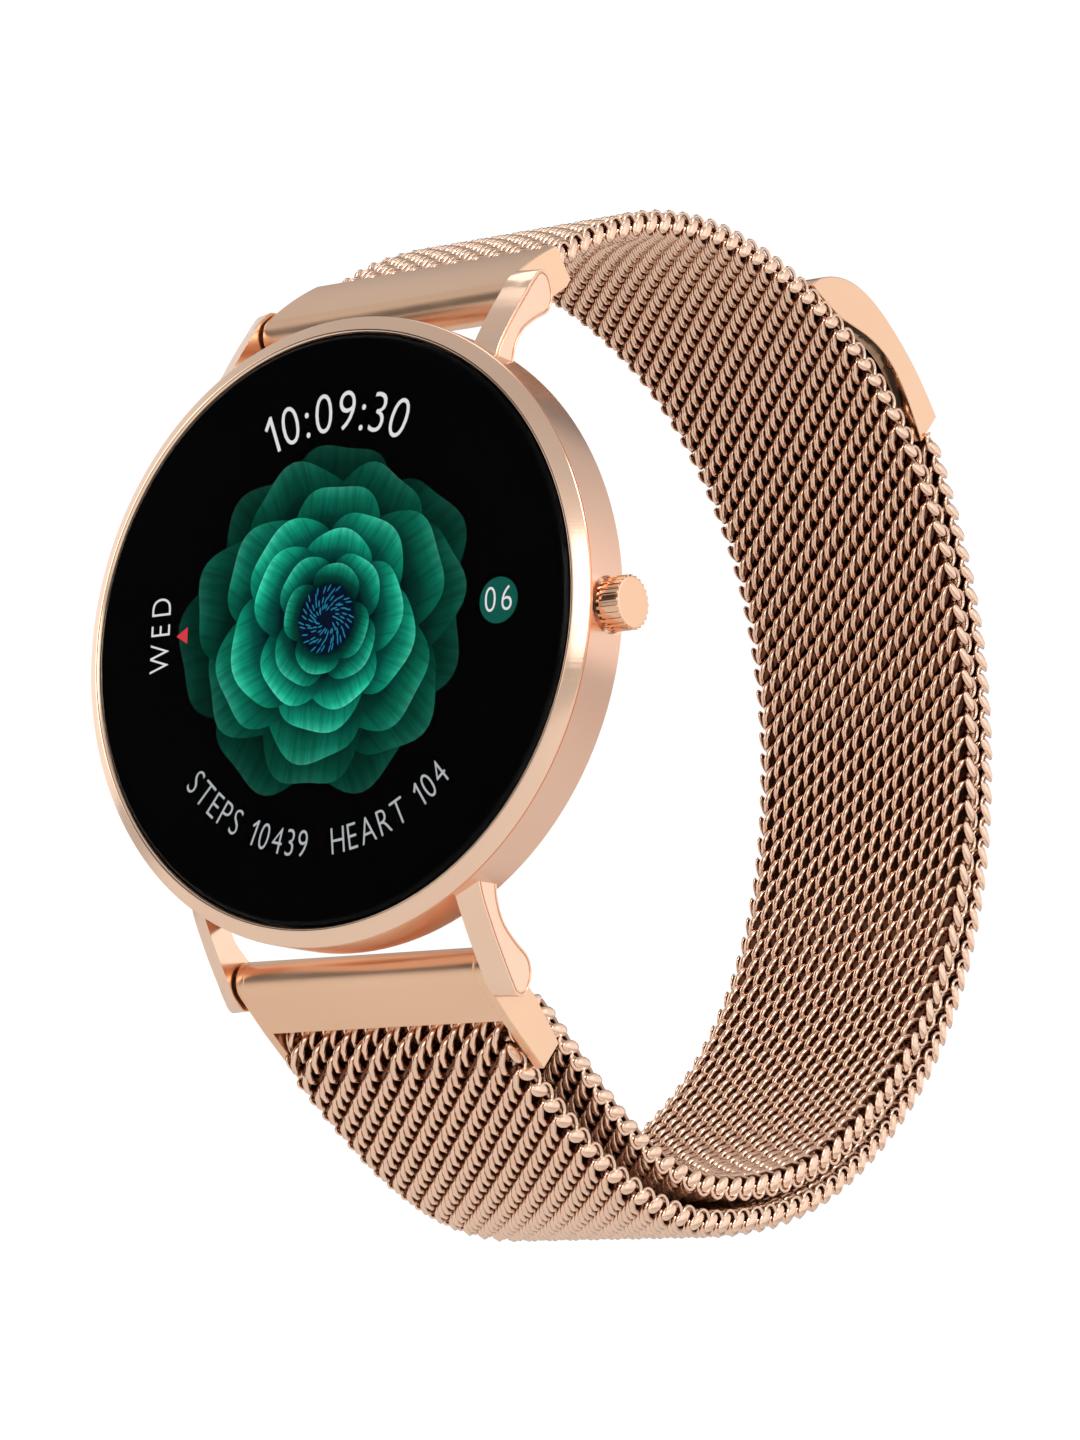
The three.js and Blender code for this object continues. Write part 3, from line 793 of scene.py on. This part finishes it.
def edgeBead():
    nothingPicked()
    bpy.ops.mesh.primitive_uv_sphere_add(segments=10, ring_count=8, radius=mm)
    bead = bpy.context.object
    bead.name = "edgeBead"
    bead.scale = (weave["beadAcross"], weave["beadAlong"], weave["beadDeep"])
    bead.rotation_euler = (math.radians(weave["beadLean"]), 0, 0)
    settle(bead)
    bpy.ops.mesh.primitive_torus_add(major_segments=14, minor_segments=6,
                                     major_radius=weave["hookRadius"] * mm,
                                     minor_radius=weave["hookWire"] * mm, rotation=(0, math.pi / 2, 0))
    hook = bpy.context.object
    settle(hook)
    bpy.ops.object.mode_set(mode="EDIT")
    bpy.ops.mesh.select_all(action="SELECT")
    bpy.ops.mesh.bisect(plane_co=(0, 0, 0), plane_no=(0, 0, -1), clear_outer=True)
    bpy.ops.object.mode_set(mode="OBJECT")
    hook.data.transform(Matrix.Translation(
        (weave["hookOut"] * mm, weave["hookOn"] * mm, weave["hookRaise"] * mm)))
    whole = joined([bead, hook])
    bpy.ops.object.shade_smooth()
    # the edge beads carry no painted shade
    whole.data.attributes.new("coilShade", "FLOAT", "POINT")
    return whole


# the place of one row: X across the band, Y along it, Z out of it
def standing(point, along):
    return Matrix(((1, 0, 0, 0), (0, along.x, -along.y, point[0] * mm),
                   (0, along.y, along.x, point[1] * mm), (0, 0, 0, 1)))


def pieceAt(prefix, length):
    edges = stations[prefix]
    for i, (a, b) in enumerate(zip(edges, edges[1:])):
        if min(a, b) <= length < max(a, b):
            return f"{prefix}_{i + 1}"
    return f"{prefix}_{len(edges) - 1}"


def onFold(angle):
    return onRing(fold["s"] - fold["radius"] * math.sin(angle), fold["t"] - fold["radius"] * math.cos(angle))


# every row in order: inner layer, round the fold, back along the outer layer to the clasp
def rowPlaces():
    places = []
    count = round(runLength / weave["pitch"])
    for i in range(count):
        length = (i + 0.5) * runLength / count
        point, along = runAt(length)
        places.append((pieceAt("mesh_inner", length), standing(point, along)))
    aroundCount = round(math.pi * fold["radius"] / weave["pitch"])
    for i in range(aroundCount):
        angle = math.pi * (i + 0.5) / aroundCount
        point, nearby = onFold(angle), onFold(angle + 0.01)
        along = (Vector(nearby) - Vector(point)).normalized()
        places.append(("mesh_fold", standing(point, along)))
    length, travelled = runLength, 0.0
    last = Vector(onRun(length, layerHeight(length)))
    due = weave["pitch"] / 2
    while length > run["tailEnd"]:
        length -= run["walk"]
        point = Vector(onRun(length, layerHeight(length)))
        travelled += (point - last).length
        if travelled >= due:
            prefix = "mesh_outer" if length > run["tailStart"] else "mesh_tail"
            along = (point - last).normalized()
            places.append((pieceAt(prefix, length), standing(point, along)))
            due += weave["pitch"]
        last = point
    return places


def makeWeave():
    row, bead = coilRow(), edgeBead()
    halfTurn = Matrix.Rotation(math.pi, 4, "X")
    rows = {}
    places = rowPlaces()
    for i, (node, place) in enumerate(places):
        spot = place @ halfTurn if i % 2 else place
        rows.setdefault(node, []).append(twinOf(row, spot))
        if i % 2 == 0:
            for side in (-1, 1):
                shift = Matrix.Translation((side * weave["beadAt"] * mm, weave["beadForward"] * mm, 0))
                rows[node].append(twinOf(bead, place @ shift))
    throwAway(row, bead)
    for node, parts in rows.items():
        piece = joined(parts)
        dressed(piece, node.replace("mesh", "weave"), material["rose_mesh"], "rose_mesh", bodyOf[node], node)
    print("weave:", len(places), "rows in", len(rows), "pieces")


makeWeave()


clasp = {"half": 9.0, "pocketHalf": 7.8, "edge": 0.12,
         "top": [(32.6, 1.4), (33.2, 2.3), (34.9, 3.65), (36.8, 4.6), (39.0, 5.1), (42, 5.25), (45.5, 5.25),
                 (48.9, 5.1)],
         "bottom": [(49.15, 2.1), (47.3, 2.45), (45.5, 2.8), (43.5, 3.0), (42, 2.9), (40, 2.4), (38.5, 1.85),
                    (36.5, 1.25), (34, 1.2)],
         "pocket": [(37.6, 3.5), (42, 3.7), (47.4, 3.7), (47.4, 1), (42, 1), (37.6, 1)]}


def makeClasp():
    def through(points, perSpan):
        return [onRun(*p) for p in smoothLine(points, perSpan)]
    outline = through(clasp["top"], 5) + through(clasp["bottom"], 4)
    piece = plate("claspPlate", outline, -clasp["half"], clasp["half"])
    hollow = plate("claspHollow", [onRun(*p) for p in clasp["pocket"]], -clasp["pocketHalf"],
                   clasp["pocketHalf"])
    cutAway(piece, hollow)
    softEdges(piece, clasp["edge"], 3, 40)
    dressed(piece, "clasp_shell", material["rose_gold"], "rose_gold", bodyOf["clasp_plate"], "clasp_plate")


makeClasp()
print("clasp done")


face = {"panelY": -9.70, "inkY": -9.765, "thick": 0.006, "thin": 0.012,
        "white": (0.93, 0.94, 0.95), "grey": (0.56, 0.60, 0.62), "red": (0.85, 0.055, 0.075),
        "disc": (0.006, 0.115, 0.085),
        # words, size, width, radius, first and last angle, and whether they stand at the top
        "time": ("10:09:30", 3.95, 0.86, 14.25, -21.6, 22.0, True),
        "steps": ("STEPS 10439", 2.6, 0.74, 14.2, -48.6, -5.2, False),
        "heart": ("HEART 104", 2.6, 0.74, 14.2, 6.6, 43.4, False),
        # size and width, then the letters with their places
        "day": (2.45, 0.80), "dayX": -14.15, "dayLetters": (("W", -0.75), ("E", 1.15), ("D", 2.75)),
        "date": (2.4, 0.86), "dateZ": 0.5, "dateLetters": (("0", 13.3), ("6", 14.6)), "dateLift": 0.012,
        "discRadius": 1.5, "discX": 13.95, "discSink": 0.004,
        "pointerRadius": 0.64, "pointerX": -12.2, "pointerZ": 0.62,
        # the flag on the figure 1, in parts of the letter's size
        "flagTurn": 42, "flagLong": 0.25, "flagThick": 0.07, "flagLeft": 0.05, "flagDown": 0.11}


# a lit picture: no gloss of its own, and nearly black where it is unlit
def litInk(shader, source, unlit):
    shader.id_data.links.new(source, shader.inputs["Emission Color"])
    for label, value in (("Emission Strength", 1.0), ("Base Color", (*unlit, 1)),
                         ("Specular IOR Level", 0.0), ("Roughness", 0.5)):
        shader.inputs[label].default_value = value


def glowMaterial(name, colour):
    made, nodes, links, shader = plainMaterial(name)
    where = nodes.new("ShaderNodeTexCoord")
    grid = nodes.new("ShaderNodeTexNoise")
    grid.inputs["Scale"].default_value = 2500
    links.new(where.outputs["Object"], grid.inputs["Vector"])
    tone = nodes.new("ShaderNodeMix")
    tone.data_type = "RGBA"
    tone.inputs["A"].default_value = (*[c * 0.94 for c in colour], 1)
    tone.inputs["B"].default_value = (*colour, 1)
    links.new(grid.outputs["Fac"], tone.inputs["Factor"])
    litInk(shader, tone.outputs["Result"], (0.004, 0.004, 0.004))
    return made


# one letter as a thin solid, facing out of the watch, centred on the origin
def glyph(letter, size, narrow):
    nothingPicked()
    bpy.ops.object.text_add()
    text = bpy.context.object
    text.data.body = letter
    text.data.size = size * mm
    text.data.offset = -face["thin"] * size * mm
    text.data.extrude = face["thick"] / 2 * mm
    text.data.align_y = "CENTER"
    text.data.resolution_u = 4
    bpy.ops.object.convert(target="MESH")
    mark = bpy.context.object
    if letter == "1":
        left = min(corner.co.x for corner in mark.data.vertices)
        top = max(corner.co.y for corner in mark.data.vertices)
        bpy.ops.mesh.primitive_cube_add(
            size=mm, rotation=(0, 0, math.radians(face["flagTurn"])),
            scale=(face["flagLong"] * size, face["flagThick"] * size, face["thick"]),
            location=(left - face["flagLeft"] * size * mm, top - face["flagDown"] * size * mm, 0))
        flag = bpy.context.object
        settle(flag)
        mark = joined([mark, flag])
    mark.data.transform(Matrix.Diagonal((narrow, 1, 1, 1)))
    across = [corner.co.x for corner in mark.data.vertices]
    middle = (min(across) + max(across)) / 2
    mark.data.transform(Matrix.Rotation(math.pi / 2, 4, "X") @ Matrix.Translation((-middle, 0, 0)))
    return mark, (max(across) - min(across)) / mm


def placedGlyph(mark, x, z, turn=0.0, lift=0.0):
    mark.data.transform(Matrix.Translation((x * mm, (face["inkY"] - lift) * mm, z * mm))
                        @ Matrix.Rotation(turn, 4, "Y"))
    return mark


# letters set round the dial from one angle to the other, with even gaps, reading left to right
def arcText(words, size, narrow, radius, start, end, top):
    marks = [(None, size * 0.16) if letter == " " else glyph(letter, size, narrow) for letter in words]
    widths = [wide for mark, wide in marks]
    room = radius * math.radians(end - start) + (widths[0] + widths[-1]) / 2
    gap = (room - sum(widths)) / (len(words) - 1)
    walked, placed = -widths[0] / 2, []
    for mark, wide in marks:
        angle = math.radians(start) + (walked + wide / 2) / radius
        walked += wide + gap
        if mark:
            x, z = radius * math.sin(angle), radius * math.cos(angle) * (1 if top else -1)
            placed.append(placedGlyph(mark, x, z, angle if top else -angle))
    return placed


# a filled shape on the display that faces out of the watch
def flatShape(sides, radius, x, z, y, turn=0.0, thick=None):
    nothingPicked()
    bpy.ops.mesh.primitive_cylinder_add(vertices=sides, radius=radius * mm,
                                        depth=(thick or face["thick"]) * mm,
                                        location=(x * mm, y * mm, z * mm), rotation=(math.pi / 2, 0, 0))
    shape = bpy.context.object
    settle(shape)
    if turn:
        centre = Matrix.Translation((x * mm, y * mm, z * mm))
        shape.data.transform(centre @ Matrix.Rotation(turn, 4, "Y") @ centre.inverted())
    return shape


def inked(parts, name, paint):
    piece = joined(parts)
    cleanSkin(piece, 1e-8)
    return dressed(piece, name, paint, "display", bodyOf["display_panel"])


def makeReadouts():
    white = glowMaterial("whiteInk", face["white"])
    time = arcText(*face["time"])
    day = [placedGlyph(glyph(letter, *face["day"])[0], face["dayX"], z, -math.pi / 2)
           for letter, z in face["dayLetters"]]
    date = [placedGlyph(glyph(letter, *face["date"])[0], x, face["dateZ"], 0, face["dateLift"])
            for letter, x in face["dateLetters"]]
    inked(time + day + date, "display_time", white)
    low = arcText(*face["steps"]) + arcText(*face["heart"])
    inked(low, "display_counts", glowMaterial("greyInk", face["grey"]))
    disc = flatShape(64, face["discRadius"], face["discX"], face["dateZ"], face["inkY"] + face["discSink"])
    inked([disc], "display_date_disc", glowMaterial("discInk", face["disc"]))
    pointer = flatShape(3, face["pointerRadius"], face["pointerX"], face["pointerZ"], face["inkY"],
                        math.radians(-90))
    inked([pointer], "display_pointer", glowMaterial("redInk", face["red"]))


rosette = {"centre": (-0.05, 0.6), "eye": 2.3, "stamens": 30, "petalStep": 0.0012, "petalThick": 0.0009,
           "inkThick": 0.002, "eyeLift": 0.003, "stamenLift": 0.008,
           "eyeColour": (0.001, 0.006, 0.022), "stamenColour": (0.02, 0.24, 0.42),
           # stroke radius and width, twist with distance, lean, and each stroke's reach and length
           "strokeRadius": 0.1, "strokeWidth": 0.55, "twist": 0.25, "lean": 0.5,
           "strokes": ((1.95, 0.30), (1.4, 0.26), (0.85, 0.2)),
           "petalRamp": [(0.0, (0.0, 0.004, 0.008)), (0.40, (0.0, 0.012, 0.016)),
                         (0.62, (0.001, 0.11, 0.075)), (0.84, (0.007, 0.42, 0.25)),
                         (0.955, (0.04, 0.72, 0.46)), (1.0, (0.12, 0.88, 0.62))],
           # count, reach, width, first angle, tone, waviness
           "rings": [(7, 11.7, 10.8, 8, 0.09, 0.03), (7, 10.9, 9.8, 31, 0.19, 0.03),
                     (6, 9.3, 9.2, 5, 0.40, 0.025), (5, 7.7, 8.6, 36, 0.80, 0.02),
                     (5, 6.1, 6.8, 12, 1.0, 0.015), (4, 4.8, 5.6, 48, 0.9, 0.015),
                     (4, 3.6, 4.4, 20, 0.75, 0.01)]}


# petals: dark at the root, bright towards the lip, with fine veins along them
def petalMaterial():
    made, nodes, links, shader = plainMaterial("petalInk")
    sheet = nodes.new("ShaderNodeUVMap")
    sheet.uv_map = "petal"
    parts = nodes.new("ShaderNodeSeparateXYZ")
    links.new(sheet.outputs[0], parts.inputs[0])
    tone = nodes.new("ShaderNodeAttribute")
    tone.attribute_name = "tone"
    ramp = colourRamp(nodes, links, parts.outputs["Y"], rosette["petalRamp"])
    stretch = nodes.new("ShaderNodeMapping")
    stretch.inputs["Scale"].default_value = (34, 1.6, 1)
    links.new(sheet.outputs[0], stretch.inputs["Vector"])
    veins = nodes.new("ShaderNodeTexNoise")
    veins.inputs["Scale"].default_value = 1.0
    veins.inputs["Detail"].default_value = 3
    links.new(stretch.outputs[0], veins.inputs["Vector"])
    light = mapRange(nodes, links, veins.outputs["Fac"], 0.3, 0.7, 0.62, 1.12)
    both = nodes.new("ShaderNodeMath")
    both.operation = "MULTIPLY"
    links.new(light.outputs[0], both.inputs[0])
    links.new(tone.outputs["Fac"], both.inputs[1])
    shade = nodes.new("ShaderNodeVectorMath")
    shade.operation = "SCALE"
    links.new(ramp.outputs["Color"], shade.inputs[0])
    links.new(both.outputs[0], shade.inputs["Scale"])
    litInk(shader, shade.outputs[0], (0.002, 0.004, 0.004))
    return made


# a rounded petal lying flat, root at the centre, and its own map from root to lip
def onePetal(reach, width, wave, tone):
    nothingPicked()
    bpy.ops.mesh.primitive_circle_add(vertices=48, radius=1, fill_type="TRIFAN")
    petal = bpy.context.object
    sheet = petal.data.uv_layers.new(name="petal")
    flat = [corner.co.copy() for corner in petal.data.vertices]
    for loop in petal.data.loops:
        spot = flat[loop.vertex_index]
        up, edge = (spot.y + 1) / 2, min(spot.length, 1)
        sheet.data[loop.index].uv = ((spot.x + 1) / 2, up * (0.45 + 0.55 * edge))
    phase = random.uniform(0, 6.28)
    for corner, spot in zip(petal.data.vertices, flat):
        up = (spot.y + 1) / 2
        angle = math.atan2(spot.x, spot.y)
        ripple = 1 + wave * math.sin(angle * 5 + phase) * up * min(spot.length, 1)
        corner.co = (spot.x * width / 2 * (0.6 + 0.42 * up ** 0.7) * ripple * mm, 0,
                     (0.02 + up * ripple) * reach * mm)
    level = petal.data.attributes.new("tone", "FLOAT", "POINT")
    for value in level.data:
        value.value = tone
    return petal


def makeRosette():
    x, z = rosette["centre"]
    parts, height = [], face["panelY"] - 0.004
    for count, reach, width, first, tone, wave in rosette["rings"]:
        for i in range(count):
            size = random.uniform(0.94, 1.06)
            petal = onePetal(reach * size, width * size, wave, tone * random.uniform(0.8, 1.15))
            angle = math.radians(first + 360 / count * i + random.uniform(-5, 5))
            height -= rosette["petalStep"]
            place = Matrix.Translation((x * mm, height * mm, z * mm)) @ Matrix.Rotation(angle, 4, "Y")
            petal.data.transform(place)
            parts.append(petal)
    piece = joined(parts)
    useModifier(piece, "SOLIDIFY", thickness=rosette["petalThick"] * mm, offset=-1)
    dressed(piece, "display_rosette", petalMaterial(), "display", bodyOf["display_panel"])
    thick = rosette["inkThick"]
    eye = flatShape(48, rosette["eye"], x, z, height - rosette["eyeLift"], 0, thick)
    inked([eye], "display_rosette_eye", glowMaterial("eyeInk", rosette["eyeColour"]))
    strokes = []
    for i in range(rosette["stamens"]):
        turn = math.radians(i * 360 / rosette["stamens"] + random.uniform(-3, 3))
        for reach, long in rosette["strokes"]:
            out = reach + random.uniform(-0.2, 0.2)
            radius = rosette["strokeRadius"]
            stroke = flatShape(6, radius, 0, 0, height - rosette["stamenLift"], 0, thick)
            stroke.data.transform(Matrix.Diagonal((rosette["strokeWidth"], 1, long / radius, 1)))
            swirl = Matrix.Rotation(turn + rosette["twist"] * reach, 4, "Y")
            place = (Matrix.Translation((x * mm, 0, z * mm)) @ swirl
                     @ Matrix.Translation((0, 0, out * mm)) @ Matrix.Rotation(rosette["lean"], 4, "Y"))
            stroke.data.transform(place)
            strokes.append(stroke)
    inked(strokes, "display_rosette_stamens", glowMaterial("stamenInk", rosette["stamenColour"]))


makeReadouts()
makeRosette()
print("display done")
